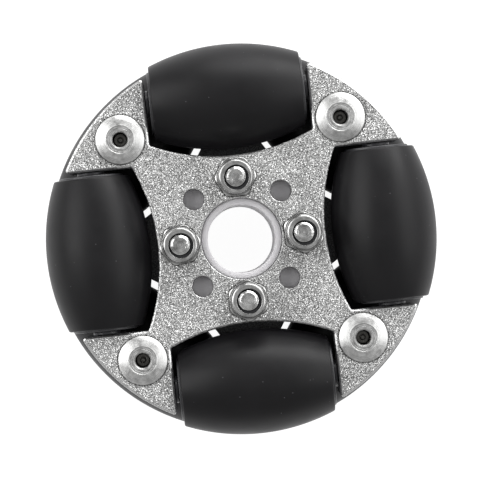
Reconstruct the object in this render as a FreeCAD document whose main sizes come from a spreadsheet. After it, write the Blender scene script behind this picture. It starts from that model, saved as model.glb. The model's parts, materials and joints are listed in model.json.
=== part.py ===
import FreeCAD, Part
import math
import os

import Sketcher

# Double-row omni wheel. Two rows of barrel rollers, turned half a pitch to each other, fill one
# rolling circle. The wheel lies on its side: +Z is its axis, the nuts are up, and the origin is
# the wheel's centre. The front row has a roller on +X, +Y, -X and -Y.

# Rollers in each row, the angle from one to the next, and the turn between the two rows.
ROW_COUNT = 4
ROW_ANGLE = 360 // ROW_COUNT
HALF_ANGLE = ROW_ANGLE / 2

# Places nearer than this count as one, in millimetres.
CLOSE = 1e-4

# How each hexagon happens to stand after tightening, in degrees.
NUT_TURNS = (31, 0, 9, 30)
SCREW_TURNS = (12, 47, 25, 3)

# Driving sizes in millimetres.
SIZES = {
    # Hub, from the shaft bore outwards
    "spacer_bore_radius": 5.0,
    "bore_step": 1.0,
    "hub_radius": 12.4,
    "frame_wall": 0.95,
    "spacer_gap": 0.05,
    "spacer_bevel": 0.2,
    "spigot_drop": 0.35,
    "spigot_bevel": 0.08,
    # Barrel rollers
    "roller_radius": 7.75,
    "roller_half_length": 11.5,
    "pocket_gap": 1.1,
    "tyre_inset": 0.3,
    "tyre_corner": 0.4,
    "core_radius": 3.4,
    "flange_radius": 4.7,
    "flange_thickness": 1.3,
    "flange_bevel": 0.15,
    # Axles and their washers
    "axle_radius": 1.25,
    "axle_bevel": 0.2,
    "axle_running_gap": 0.05,
    "axle_seat_gap": 0.05,
    "axle_grip": 3.35,
    "axle_end_gap": 0.1,
    "washer_radius": 2.0,
    "washer_thickness": 0.45,
    "end_float": 0.1,
    # How the two rows stand to each other
    "row_nest": 0.75,
    "arm_gap": 0.75,
    # Face plates
    "plate_thickness": 2.0,
    "plate_rim_inset": 1.2,
    "plate_side_inset": 0.1,
    "plate_bevel": 0.3,
    "hole_bevel": 0.1,
    "tip_round": 0.4,
    "pocket_round": 0.5,
    # Moulded frames
    "frame_rim_inset": 0.3,
    "land_width": 2.6,
    # Hub screws and lock nuts
    "bolt_circle_shift": 0.42,
    "screw_radius": 1.5,
    "screw_hole_gap": 0.05,
    "screw_head_radius": 2.75,
    "screw_head_height": 3.0,
    "screw_head_bevel": 0.3,
    "socket_across_flats": 2.5,
    "socket_depth": 1.5,
    "screw_tip_proud": 0.4,
    "screw_tip_bevel": 0.3,
    "screw_dish_radius": 0.95,
    "screw_dish_depth": 0.15,
    "nut_across_flats": 5.5,
    "nut_hex_height": 2.7,
    "nut_corner_bevel": 0.35,
    "nut_height": 4.0,
    "collar_radius": 2.55,
    "collar_round": 0.3,
    "lip_thickness": 0.3,
    "lip_bore_radius": 1.75,
    "insert_radius": 2.1,
    "thread_gap": 0.02,
    # Blind rivets
    "rivet_shift": 0.63,
    "rivet_radius": 2.0,
    "rivet_hole_gap": 0.05,
    "rivet_flange_radius": 3.65,
    "rivet_rim_height": 0.25,
    "rivet_cone_height": 0.9,
    "rivet_boss_radius": 2.3,
    "rivet_dish_radius": 1.8,
    "rivet_dish_drop": 0.15,
    "rivet_lip_radius": 1.55,
    "rivet_mouth_drop": 0.3,
    "rivet_bore_radius": 1.1,
    "tail_radius": 3.0,
    "tail_height": 1.2,
    "tail_bevel": 0.4,
    "tail_room": 2.2,
    "tail_side_gap": 0.2,
    "pin_gap": 0.05,
    "pin_break_depth": 2.6,
    "pin_head_radius": 1.7,
    "pin_head_height": 0.7,
}

# Lengths that follow from the driving sizes.
PLATE_BORE = "(sizes.spacer_bore_radius + sizes.bore_step)"
SPACER_RADIUS = "(sizes.hub_radius - sizes.frame_wall - sizes.spacer_gap)"
SPIGOT_RADIUS = f"({PLATE_BORE} - sizes.spacer_gap)"
SPIGOT_LENGTH = "(sizes.plate_thickness - sizes.spigot_drop)"
BOLT_CIRCLE = f"(({PLATE_BORE} + {SPACER_RADIUS}) / 2 + sizes.bolt_circle_shift)"
SCREW_HOLE = "(sizes.screw_radius + sizes.screw_hole_gap)"
AXLE_CIRCLE = "(sizes.hub_radius + sizes.pocket_gap + sizes.roller_radius)"
WHEEL_RADIUS = f"({AXLE_CIRCLE} + sizes.roller_radius)"
FLOOR_CENTRE = f"(sizes.hub_radius + {WHEEL_RADIUS})"
ROW_OFFSET = "(sizes.roller_radius - sizes.row_nest)"
ARM_UNDERSIDE = "(sizes.row_nest + sizes.arm_gap)"
AXLE_SEAT = "(sizes.axle_radius + sizes.axle_seat_gap)"
PLATE_SEAT = f"({ROW_OFFSET} + {AXLE_SEAT})"
PLATE_FACE = f"({PLATE_SEAT} + sizes.plate_thickness)"
PLATE_RIM = f"({WHEEL_RADIUS} - sizes.plate_rim_inset)"
FRAME_RIM = f"({PLATE_RIM} - sizes.frame_rim_inset)"
LAND_RADIUS = "(sizes.hub_radius + sizes.land_width)"
WASHER_FACE = "(sizes.roller_half_length + sizes.end_float)"
FRAME_SIDE = f"({WASHER_FACE} + sizes.washer_thickness)"
PLATE_SIDE = f"({FRAME_SIDE} + sizes.plate_side_inset)"
AXLE_HALF_LENGTH = f"({FRAME_SIDE} + sizes.axle_grip)"
RUNNING_BORE = "(sizes.axle_radius + sizes.axle_running_gap)"
TYRE_HALF_LENGTH = "(sizes.roller_half_length - sizes.tyre_inset)"
FLANGE_INNER = "(sizes.roller_half_length - sizes.flange_thickness)"
RIVET_CIRCLE = f"((sqrt(2) * {PLATE_SIDE} + {PLATE_RIM}) / 2 + sizes.rivet_shift)"
RIVET_HOLE = "(sizes.rivet_radius + sizes.rivet_hole_gap)"
RIVET_GRIP = f"({PLATE_FACE} - {ARM_UNDERSIDE} - sizes.tail_room)"
THREAD_BORE = "(sizes.screw_radius + sizes.thread_gap)"

os.makedirs("parts", exist_ok=True)
doc = FreeCAD.newDocument("omni_wheel")
sheet = doc.addObject("Spreadsheet::Sheet", "sizes")
for row, (alias, length) in enumerate(SIZES.items(), start=1):
    sheet.set(f"A{row}", alias.replace("_", " "))
    sheet.set(f"B{row}", str(length))
    sheet.setAlias(f"B{row}", alias)
doc.recompute()

# Every finished piece, by the name of its node.
nodes = {}


def length_of(expression):
    """The number that an expression of the sheet gives now."""
    return float(sheet.evalExpression(expression))


def new_body(name):
    return doc.addObject("PartDesign::Body", name)


def origin_part(body, role):
    """One of the body's own origin planes or axes."""
    return next(part for part in body.Origin.OriginFeatures if part.Role == role)


def new_sketch(body, name, role="XY_Plane", height=None):
    """A sketch on one of the body's origin planes, raised along its normal if height is given."""
    sketch = body.newObject("Sketcher::SketchObject", name)
    sketch.AttachmentSupport = (origin_part(body, role), [""])
    sketch.MapMode = "FlatFace"
    if height is not None:
        sketch.setExpression("AttachmentOffset.Base.z", height)
    return sketch


def bind(sketch, constraint, expression):
    """Adds a constraint whose size follows the sheet."""
    index = sketch.addConstraint(constraint)
    sketch.setExpression(f"Constraints[{index}]", expression)


def fix_x(sketch, edge, end, expression):
    """Holds an edge's end at a distance right of the sketch's vertical axis."""
    if expression == "0":
        sketch.addConstraint(Sketcher.Constraint("PointOnObject", edge, end, -2))
    else:
        bind(sketch, Sketcher.Constraint("DistanceX", edge, end, length_of(expression)), expression)


def fix_y(sketch, edge, end, expression):
    """Holds an edge's end at a distance above the sketch's horizontal axis."""
    if expression == "0":
        sketch.addConstraint(Sketcher.Constraint("PointOnObject", edge, end, -1))
    else:
        bind(sketch, Sketcher.Constraint("DistanceY", edge, end, length_of(expression)), expression)


def draw_circle(sketch, x, y, radius):
    centre = FreeCAD.Vector(length_of(x), length_of(y), 0)
    circle = Part.Circle(centre, FreeCAD.Vector(0, 0, 1), length_of(radius))
    edge = sketch.addGeometry(circle, False)
    fix_x(sketch, edge, 3, x)
    fix_y(sketch, edge, 3, y)
    bind(sketch, Sketcher.Constraint("Radius", edge, length_of(radius)), radius)


def draw_hexagon(sketch, across_flats):
    """A hexagon about the sketch's origin with a corner on its horizontal axis."""
    corner_radius = f"{across_flats} / sqrt(3)"
    corners = []
    for step in range(6):
        x = f"{corner_radius} * cos({60 * step} deg)"
        y = f"{corner_radius} * sin({60 * step} deg)" if step % 3 else "0"
        corners.append((x, y))
    draw_outline(sketch, corners)


def draw_outline(sketch, corners, arcs=None):
    """A closed outline through (x, y) corners.

    arcs gives, for a corner's number, the arc that leaves it: centre x, centre y, radius, and the
    side of the centre that it lies on, 1 above or -1 below. A corner at an arc's end has no y.
    """
    arcs = arcs or {}
    count = len(corners)
    points = []
    for number, (x, y) in enumerate(corners):
        if y is None:
            centre_x, centre_y, radius, side = arcs.get(number) or arcs[number - 1]
            across = length_of(x) - length_of(centre_x)
            rise = side * math.sqrt(length_of(radius) ** 2 - across ** 2)
            points.append(FreeCAD.Vector(length_of(x), length_of(centre_y) + rise, 0))
        else:
            points.append(FreeCAD.Vector(length_of(x), length_of(y), 0))
    ends = []
    for number, start in enumerate(points):
        finish = points[(number + 1) % count]
        if number in arcs:
            centre_x, centre_y, radius, side = arcs[number]
            centre = FreeCAD.Vector(length_of(centre_x), length_of(centre_y), 0)
            circle = Part.Circle(centre, FreeCAD.Vector(0, 0, 1), length_of(radius))
            from_start = math.atan2(start.y - centre.y, start.x - centre.x) % (2 * math.pi)
            to_finish = math.atan2(finish.y - centre.y, finish.x - centre.x) % (2 * math.pi)
            forward = from_start < to_finish
            low, high = sorted((from_start, to_finish))
            edge = sketch.addGeometry(Part.ArcOfCircle(circle, low, high), False)
            ends.append((edge, 1, 2) if forward else (edge, 2, 1))
            fix_x(sketch, edge, 3, centre_x)
            fix_y(sketch, edge, 3, centre_y)
            bind(sketch, Sketcher.Constraint("Radius", edge, length_of(radius)), radius)
        else:
            edge = sketch.addGeometry(Part.LineSegment(start, finish), False)
            ends.append((edge, 1, 2))
    for number, (edge, _, finish_end) in enumerate(ends):
        next_edge, next_start, _ = ends[(number + 1) % count]
        sketch.addConstraint(Sketcher.Constraint("Coincident", edge, finish_end, next_edge, next_start))
    for (edge, start_end, _), (x, y) in zip(ends, corners):
        fix_x(sketch, edge, start_end, x)
        if y is not None:
            fix_y(sketch, edge, start_end, y)


def pad(body, sketch, height):
    """Raises a solid of the sketch's outline along its normal."""
    feature = body.newObject("PartDesign::Pad", sketch.Name + "_pad")
    feature.Profile = sketch
    feature.setExpression("Length", height)
    doc.recompute()
    return feature


def turn(body, sketch, axis="V_Axis"):
    """Turns a solid from the sketch's outline about one of the sketch's axes."""
    feature = body.newObject("PartDesign::Revolution", sketch.Name + "_turned")
    feature.Profile = sketch
    feature.ReferenceAxis = (sketch, [axis])
    feature.Angle = 360
    doc.recompute()
    return feature


def hollow(body, sketch, axis):
    """Takes away what the sketch's outline sweeps about one of the sketch's axes."""
    before = body.Shape.Volume
    feature = body.newObject("PartDesign::Groove", sketch.Name + "_hollow")
    feature.Profile = sketch
    feature.ReferenceAxis = (sketch, [axis])
    feature.Angle = 360
    doc.recompute()
    if not body.Shape.Volume < before:
        raise RuntimeError(f"{feature.Name} takes nothing away")
    return feature


def cut(body, sketch, depth, both_ways=False):
    """Cuts the sketch's outline out of the body, upwards from it or by half the depth each way."""
    before = body.Shape.Volume
    feature = body.newObject("PartDesign::Pocket", sketch.Name + "_cut")
    feature.Profile = sketch
    feature.setExpression("Length", depth)
    if both_ways:
        feature.SideType = "Symmetric"
    else:
        feature.Reversed = True
    doc.recompute()
    if not body.Shape.Volume < before:
        raise RuntimeError(f"{feature.Name} cuts nothing")
    return feature


def repeat(body, features, count):
    """Repeats features evenly around the body's Z axis."""
    before = body.Shape.Volume
    pattern = body.newObject("PartDesign::PolarPattern", features[0].Name + "_ring")
    pattern.Originals = features
    pattern.Axis = (origin_part(body, "Z_Axis"), [""])
    pattern.Angle = 360
    pattern.Occurrences = count
    body.Tip = pattern
    doc.recompute()
    if not body.Shape.Volume < before:
        raise RuntimeError(f"{pattern.Name} repeats nothing")
    return pattern


def edge_names(shape, wanted):
    """The names of the edges that a test picks."""
    return [f"Edge{number}" for number, edge in enumerate(shape.Edges, start=1) if wanted(edge)]


def round_edges(body, name, wanted, radius):
    base = body.Tip
    feature = body.newObject("PartDesign::Fillet", name)
    feature.Base = (base, edge_names(base.Shape, wanted))
    feature.setExpression("Radius", radius)
    doc.recompute()
    return feature


def bevel_edges(body, name, wanted, size):
    base = body.Tip
    feature = body.newObject("PartDesign::Chamfer", name)
    feature.Base = (base, edge_names(base.Shape, wanted))
    feature.setExpression("Size", size)
    doc.recompute()
    return feature


def is_upright(edge):
    """True for a straight edge along the wheel's axis."""
    box = edge.BoundBox
    return box.XLength < CLOSE and box.YLength < CLOSE


def lies_at(edge, height):
    """True for an edge that lies flat at this height."""
    box = edge.BoundBox
    return abs(box.ZMin - height) < CLOSE and abs(box.ZMax - height) < CLOSE


def radius_at(edge):
    """How far an upright edge stands from the wheel's axis."""
    return math.hypot(edge.BoundBox.XMin, edge.BoundBox.YMin)


def is_round_at(edge, height, x, y, radius):
    """True for a circle of this radius about (x, y) that lies flat at this height."""
    if not lies_at(edge, height) or not isinstance(edge.Curve, Part.Circle):
        return False
    near = math.hypot(edge.Curve.Center.x - x, edge.Curve.Center.y - y) < CLOSE
    return near and abs(edge.Curve.Radius - radius) < CLOSE


def put(node, source, x="0", y="0", z="0", spin=0.0, flip=False):
    """Places a copy of a piece: flip turns it over about +X, then spin turns it about +Z."""
    copy = doc.addObject("App::Link", node)
    copy.Label = node
    copy.LinkedObject = source
    over = FreeCAD.Rotation(FreeCAD.Vector(1, 0, 0), 180 if flip else 0)
    copy.Placement.Rotation = FreeCAD.Rotation(FreeCAD.Vector(0, 0, 1), spin) * over
    copy.setExpression("Placement.Base.x", x)
    copy.setExpression("Placement.Base.y", y)
    copy.setExpression("Placement.Base.z", z)
    return copy


def add_node(node, source, **place):
    nodes[node] = put(node, source, **place)


def add_group(node, copies):
    """One node of several like pieces that stay separate solids."""
    group = doc.addObject("Part::Compound", node)
    group.Label = node
    group.Links = copies
    nodes[node] = group


def on_circle(circle, angle):
    """Where a point stands on a circle about the wheel's axis."""
    return {"x": f"{circle} * cos({angle} deg)", "y": f"{circle} * sin({angle} deg)"}


def spokes(first_angle):
    """The directions of one row's rollers or arms."""
    return [first_angle + ROW_ANGLE * number for number in range(ROW_COUNT)]


def cut_roller_pockets(body, side):
    """Opens the bay of each roller: parallel sides and a floor that follows the roller's barrel."""
    sketch = new_sketch(body, body.Name + "_bay")
    beyond = f"{WHEEL_RADIUS} + sizes.roller_radius"
    corners = [(f"-{side}", None), (side, None), (side, beyond), (f"-{side}", beyond)]
    draw_outline(sketch, corners, {0: ("0", FLOOR_CENTRE, WHEEL_RADIUS, -1)})
    bay = cut(body, sketch, f"2 * {PLATE_FACE}")
    repeat(body, [bay], ROW_COUNT)


def round_bays(body, side, rim):
    """Rounds the bays' inner corners and the tips of the arms."""
    floor_end = length_of(f"{FLOOR_CENTRE} - sqrt({WHEEL_RADIUS} ^ 2 - {side} ^ 2)")
    middle = (math.hypot(length_of(side), floor_end) + length_of(rim)) / 2
    round_edges(body, body.Name + "_bay_corners",
                lambda edge: is_upright(edge) and radius_at(edge) < middle, "sizes.pocket_round")
    round_edges(body, body.Name + "_tips",
                lambda edge: is_upright(edge) and radius_at(edge) > middle, "sizes.tip_round")


def make_plate():
    """Face plate, inner face at zero: four arms between the bays, a bore and two sets of holes."""
    body = new_body("plate")
    thickness = "sizes.plate_thickness"
    disc = new_sketch(body, "plate_disc")
    draw_circle(disc, "0", "0", PLATE_RIM)
    pad(body, disc, thickness)
    cut_roller_pockets(body, PLATE_SIDE)
    round_bays(body, PLATE_SIDE, PLATE_RIM)
    top = length_of(thickness)
    bevel_edges(body, "plate_edge", lambda edge: lies_at(edge, top), "sizes.plate_bevel")
    bore = new_sketch(body, "plate_bore")
    draw_circle(bore, "0", "0", PLATE_BORE)
    cut(body, bore, thickness)
    bolt_hole = new_sketch(body, "plate_bolt_hole")
    draw_circle(bolt_hole, BOLT_CIRCLE, "0", SCREW_HOLE)
    repeat(body, [cut(body, bolt_hole, thickness)], 2 * ROW_COUNT)
    rivet_hole = new_sketch(body, "plate_rivet_hole")
    draw_circle(rivet_hole, f"{RIVET_CIRCLE} * cos({HALF_ANGLE} deg)",
                f"{RIVET_CIRCLE} * sin({HALF_ANGLE} deg)", RIVET_HOLE)
    repeat(body, [cut(body, rivet_hole, thickness)], ROW_COUNT)
    centres = [(0.0, 0.0, length_of(PLATE_BORE))]
    for number in range(2 * ROW_COUNT):
        angle = math.radians(number * HALF_ANGLE)
        circle = length_of(BOLT_CIRCLE)
        centres.append((circle * math.cos(angle), circle * math.sin(angle), length_of(SCREW_HOLE)))
    bevel_edges(body, "plate_hole_edges",
                lambda edge: any(is_round_at(edge, top, *centre) for centre in centres),
                "sizes.hole_bevel")
    return body


def make_frame():
    """Moulded frame of one row, from the wheel's mid plane up to the plate.

    Its land round the hub meets the other row's frame. The arms stand clear above the other row's
    rollers and carry the axles' ends in grooves that the plate closes.
    """
    body = new_body("frame")
    height = PLATE_SEAT
    disc = new_sketch(body, "frame_disc")
    draw_circle(disc, "0", "0", FRAME_RIM)
    pad(body, disc, height)
    cut_roller_pockets(body, FRAME_SIDE)
    round_bays(body, FRAME_SIDE, FRAME_RIM)
    relief = new_sketch(body, "frame_relief")
    draw_circle(relief, "0", "0", LAND_RADIUS)
    draw_circle(relief, "0", "0", WHEEL_RADIUS)
    cut(body, relief, ARM_UNDERSIDE)
    window = new_sketch(body, "frame_window")
    draw_circle(window, "0", "0", f"{SPACER_RADIUS} + sizes.spacer_gap")
    cut(body, window, height)
    groove_length = f"2 * ({AXLE_HALF_LENGTH} + sizes.axle_end_gap)"
    seat = new_sketch(body, "frame_axle_seat", "YZ_Plane")
    draw_circle(seat, AXLE_CIRCLE, ROW_OFFSET, AXLE_SEAT)
    slot = new_sketch(body, "frame_axle_slot", "YZ_Plane")
    left = f"{AXLE_CIRCLE} - {AXLE_SEAT}"
    right = f"{AXLE_CIRCLE} + {AXLE_SEAT}"
    above = f"{height} + sizes.axle_radius"
    draw_outline(slot, [(left, ROW_OFFSET), (right, ROW_OFFSET), (right, above), (left, above)])
    seat_cut = cut(body, seat, groove_length, both_ways=True)
    slot_cut = cut(body, slot, groove_length, both_ways=True)
    repeat(body, [seat_cut, slot_cut], ROW_COUNT)
    x = f"{RIVET_CIRCLE} * cos({HALF_ANGLE} deg)"
    y = f"{RIVET_CIRCLE} * sin({HALF_ANGLE} deg)"
    rivet_hole = new_sketch(body, "frame_rivet_hole")
    draw_circle(rivet_hole, x, y, RIVET_HOLE)
    hole_cut = cut(body, rivet_hole, height)
    tail_room = new_sketch(body, "frame_tail_room")
    draw_circle(tail_room, x, y, "sizes.tail_radius + sizes.tail_side_gap")
    room_cut = cut(body, tail_room, f"{ARM_UNDERSIDE} + sizes.tail_room")
    repeat(body, [hole_cut, room_cut], ROW_COUNT)
    return body


def make_spacer():
    """Hub spacer: a collar between the two plates, upwards from zero, and the screws' holes.

    A spigot at each end fills the window of its plate, and the shaft bore goes through all.
    """
    body = new_body("spacer")
    height = f"(2 * {PLATE_SEAT})"
    front_end = f"({height} + {SPIGOT_LENGTH})"
    bore = "sizes.spacer_bore_radius"
    lip = "sizes.spigot_bevel"
    bevel = "sizes.spacer_bevel"
    section = new_sketch(body, "spacer_section", "XZ_Plane")
    corners = [
        (f"{bore} + {lip}", f"-{SPIGOT_LENGTH}"),
        (f"{SPIGOT_RADIUS} - {lip}", f"-{SPIGOT_LENGTH}"),
        (SPIGOT_RADIUS, f"-({SPIGOT_LENGTH} - {lip})"),
        (SPIGOT_RADIUS, "0"),
        (f"{SPACER_RADIUS} - {bevel}", "0"),
        (SPACER_RADIUS, bevel),
        (SPACER_RADIUS, f"{height} - {bevel}"),
        (f"{SPACER_RADIUS} - {bevel}", height),
        (SPIGOT_RADIUS, height),
        (SPIGOT_RADIUS, f"{front_end} - {lip}"),
        (f"{SPIGOT_RADIUS} - {lip}", front_end),
        (f"{bore} + {lip}", front_end),
        (bore, f"{front_end} - {lip}"),
        (bore, f"-({SPIGOT_LENGTH} - {lip})"),
    ]
    draw_outline(section, corners)
    turn(body, section)
    hole = new_sketch(body, "spacer_hole")
    draw_circle(hole, BOLT_CIRCLE, "0", SCREW_HOLE)
    repeat(body, [cut(body, hole, height)], ROW_COUNT)
    return body


def make_tyre():
    """Rubber barrel along X, whose outline is an arc of the wheel's own rolling circle.

    Its corners are round before the room for the core, with a flange at each end, is taken out.
    """
    body = new_body("tyre")
    barrel = new_sketch(body, "tyre_barrel", "XZ_Plane")
    end = TYRE_HALF_LENGTH
    corners = [(f"-{end}", "0"), (end, "0"), (end, None), (f"-{end}", None)]
    draw_outline(barrel, corners, {2: ("0", f"-{AXLE_CIRCLE}", WHEEL_RADIUS, 1)})
    turn(body, barrel, "H_Axis")
    reach = length_of(end)
    round_edges(body, "tyre_corners",
                lambda edge: edge.BoundBox.XLength < CLOSE
                and abs(abs(edge.BoundBox.XMin) - reach) < CLOSE,
                "sizes.tyre_corner")
    seat = new_sketch(body, "tyre_seat", "XZ_Plane")
    rim = "sizes.flange_radius"
    beyond = "sizes.roller_half_length"
    corners = [
        (f"-{beyond}", "0"),
        (beyond, "0"),
        (beyond, rim),
        (FLANGE_INNER, rim),
        (FLANGE_INNER, "sizes.core_radius"),
        (f"-{FLANGE_INNER}", "sizes.core_radius"),
        (f"-{FLANGE_INNER}", rim),
        (f"-{beyond}", rim),
    ]
    draw_outline(seat, corners)
    hollow(body, seat, "H_Axis")
    return body


def make_core():
    """Roller core along X: a tube that runs on the axle, with a flange at each end."""
    body = new_body("core")
    sketch = new_sketch(body, "core_section", "XZ_Plane")
    end = "sizes.roller_half_length"
    bevel = f"({end} - sizes.flange_bevel)"
    rim = "sizes.flange_radius"
    corners = [
        (f"-{end}", RUNNING_BORE),
        (end, RUNNING_BORE),
        (end, f"{rim} - sizes.flange_bevel"),
        (bevel, rim),
        (FLANGE_INNER, rim),
        (FLANGE_INNER, "sizes.core_radius"),
        (f"-{FLANGE_INNER}", "sizes.core_radius"),
        (f"-{FLANGE_INNER}", rim),
        (f"-{bevel}", rim),
        (f"-{end}", f"{rim} - sizes.flange_bevel"),
    ]
    draw_outline(sketch, corners)
    turn(body, sketch, "H_Axis")
    return body


def make_axle():
    """Plain steel pin along X."""
    body = new_body("axle")
    sketch = new_sketch(body, "axle_section", "XZ_Plane")
    end = AXLE_HALF_LENGTH
    bevel = f"({end} - sizes.axle_bevel)"
    neck = "sizes.axle_radius - sizes.axle_bevel"
    corners = [(f"-{end}", "0"), (end, "0"), (end, neck), (bevel, "sizes.axle_radius"),
               (f"-{bevel}", "sizes.axle_radius"), (f"-{end}", neck)]
    draw_outline(sketch, corners)
    turn(body, sketch, "H_Axis")
    return body


def make_washer():
    """Thrust washer along X, from its inner face outwards."""
    body = new_body("washer")
    sketch = new_sketch(body, "washer_section", "XZ_Plane")
    thickness = "sizes.washer_thickness"
    corners = [("0", RUNNING_BORE), (thickness, RUNNING_BORE),
               (thickness, "sizes.washer_radius"), ("0", "sizes.washer_radius")]
    draw_outline(sketch, corners)
    turn(body, sketch, "H_Axis")
    return body


def make_screw():
    """Socket head screw: the head hangs below zero, the shank goes up past the lock nut."""
    body = new_body("screw")
    sketch = new_sketch(body, "screw_section", "XZ_Plane")
    tip = f"({PLATE_FACE} + {PLATE_FACE} + sizes.nut_height + sizes.screw_tip_proud)"
    head = "sizes.screw_head_radius"
    corners = [
        ("0", "-sizes.screw_head_height"),
        (f"{head} - sizes.screw_head_bevel", "-sizes.screw_head_height"),
        (head, "-(sizes.screw_head_height - sizes.screw_head_bevel)"),
        (head, "0"),
        ("sizes.screw_radius", "0"),
        ("sizes.screw_radius", f"{tip} - sizes.screw_tip_bevel"),
        ("sizes.screw_radius - sizes.screw_tip_bevel", tip),
        ("sizes.screw_dish_radius", tip),
        ("0", f"{tip} - sizes.screw_dish_depth"),
    ]
    draw_outline(sketch, corners)
    turn(body, sketch)
    socket = new_sketch(body, "screw_socket", height="-sizes.screw_head_height")
    draw_hexagon(socket, "sizes.socket_across_flats")
    cut(body, socket, "sizes.socket_depth")
    return body


def make_nut():
    """Lock nut on the plate: a hexagon with a round collar that holds the nylon ring."""
    body = new_body("nut")
    sketch = new_sketch(body, "nut_section", "XZ_Plane")
    corner = "(sizes.nut_across_flats / sqrt(3))"
    flat = "(sizes.nut_across_flats / 2)"
    shelf = "sizes.nut_hex_height"
    lip = "(sizes.nut_height - sizes.lip_thickness)"
    corners = [
        (THREAD_BORE, "0"),
        (flat, "0"),
        (corner, "sizes.nut_corner_bevel"),
        (corner, f"{shelf} - sizes.nut_corner_bevel"),
        (flat, shelf),
        ("sizes.collar_radius", shelf),
        ("sizes.collar_radius", "sizes.nut_height"),
        ("sizes.lip_bore_radius", "sizes.nut_height"),
        ("sizes.lip_bore_radius", lip),
        ("sizes.insert_radius", lip),
        ("sizes.insert_radius", shelf),
        (THREAD_BORE, shelf),
    ]
    draw_outline(sketch, corners)
    turn(body, sketch)
    top = length_of("sizes.nut_height")
    collar = length_of("sizes.collar_radius")
    round_edges(body, "nut_collar", lambda edge: is_round_at(edge, top, 0, 0, collar), "sizes.collar_round")
    flats = new_sketch(body, "nut_flats")
    draw_circle(flats, "0", "0", f"2 * {corner}")
    draw_hexagon(flats, "sizes.nut_across_flats")
    cut(body, flats, shelf)
    return body


def make_insert():
    """Nylon ring in the lock nut's collar."""
    body = new_body("insert")
    sketch = new_sketch(body, "insert_section", "XZ_Plane")
    shelf = "sizes.nut_hex_height"
    lip = "sizes.nut_height - sizes.lip_thickness"
    corners = [(THREAD_BORE, shelf), ("sizes.insert_radius", shelf), ("sizes.insert_radius", lip),
               (THREAD_BORE, lip)]
    draw_outline(sketch, corners)
    turn(body, sketch)
    return body


def make_rivet():
    """Blind rivet set from the plate's face at zero: wide flange above, bulged tail below."""
    body = new_body("rivet")
    sketch = new_sketch(body, "rivet_section", "XZ_Plane")
    cone = "sizes.rivet_cone_height"
    tail = f"({RIVET_GRIP} + sizes.tail_height)"
    corners = [
        ("sizes.rivet_bore_radius", f"-{tail}"),
        ("sizes.tail_radius - sizes.tail_bevel", f"-{tail}"),
        ("sizes.tail_radius", f"-({tail} - sizes.tail_bevel)"),
        ("sizes.tail_radius", f"-{RIVET_GRIP}"),
        ("sizes.rivet_radius", f"-{RIVET_GRIP}"),
        ("sizes.rivet_radius", "0"),
        ("sizes.rivet_flange_radius", "0"),
        ("sizes.rivet_flange_radius", "sizes.rivet_rim_height"),
        ("sizes.rivet_boss_radius", cone),
        ("sizes.rivet_dish_radius", f"{cone} - sizes.rivet_dish_drop"),
        ("sizes.rivet_lip_radius", cone),
        ("sizes.rivet_bore_radius", f"{cone} - sizes.rivet_mouth_drop"),
    ]
    draw_outline(sketch, corners)
    turn(body, sketch)
    return body


def make_rivet_pin():
    """What stays of the rivet's pulling pin: a shank in the bore and a head under the tail."""
    body = new_body("rivet_pin")
    sketch = new_sketch(body, "rivet_pin_section", "XZ_Plane")
    shank = "sizes.rivet_bore_radius - sizes.pin_gap"
    tail = f"({RIVET_GRIP} + sizes.tail_height)"
    foot = f"-({tail} + sizes.pin_head_height)"
    corners = [("0", foot), ("sizes.pin_head_radius", foot), ("sizes.pin_head_radius", f"-{tail}"),
               (shank, f"-{tail}"), (shank, "-sizes.pin_break_depth"), ("0", "-sizes.pin_break_depth")]
    draw_outline(sketch, corners)
    turn(body, sketch)
    return body


plate = make_plate()
frame = make_frame()
spacer = make_spacer()
tyre = make_tyre()
core = make_core()
axle = make_axle()
washer = make_washer()
screw = make_screw()
nut = make_nut()
insert = make_insert()
rivet = make_rivet()
rivet_pin = make_rivet_pin()

# Hub: the spacer stands between the two plates, each over its own frame.
add_node("hub_spacer", spacer, z=f"-{PLATE_SEAT}")
add_node("front_plate", plate, z=PLATE_SEAT)
add_node("rear_plate", plate, z=f"-{PLATE_SEAT}", spin=HALF_ANGLE, flip=True)
add_node("front_frame", frame)
add_node("rear_frame", frame, spin=HALF_ANGLE, flip=True)

# Rows: each roller's axle lies across its spoke, with a washer between the roller and each arm.
for row_name, first, level in (("front", 0, ROW_OFFSET), ("rear", HALF_ANGLE, f"-{ROW_OFFSET}")):
    for number, angle in enumerate(spokes(first), start=1):
        place = dict(on_circle(AXLE_CIRCLE, angle), z=level, spin=angle - 90)
        add_node(f"{row_name}_tyre_{number}", tyre, **place)
        add_node(f"{row_name}_core_{number}", core, **place)
        add_node(f"{row_name}_axle_{number}", axle, **place)
        washers = []
        for side, turned in (("right", 0), ("left", 180)):
            way = "" if side == "right" else "-"
            across = f"{way}{WASHER_FACE}"
            washers.append(put(
                f"{row_name}_washer_{number}_{side}", washer,
                x=f"{AXLE_CIRCLE} * cos({angle} deg) + {across} * sin({angle} deg)",
                y=f"{AXLE_CIRCLE} * sin({angle} deg) - {across} * cos({angle} deg)",
                z=level, spin=angle - 90 + turned))
        add_group(f"{row_name}_washers_{number}", washers)

# Hub screws come through from the rear, between the front row's rollers and the hub.
screws = []
nuts = []
inserts = []
for number, angle in enumerate(spokes(0)):
    place = on_circle(BOLT_CIRCLE, angle)
    screws.append(put(f"screw_{number}", screw, z=f"-{PLATE_FACE}", spin=SCREW_TURNS[number], **place))
    nuts.append(put(f"nut_{number}", nut, z=PLATE_FACE, spin=NUT_TURNS[number], **place))
    inserts.append(put(f"insert_{number}", insert, z=PLATE_FACE, **place))
add_group("hub_screws", screws)
add_group("hub_nuts", nuts)
add_group("nut_inserts", inserts)

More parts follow.
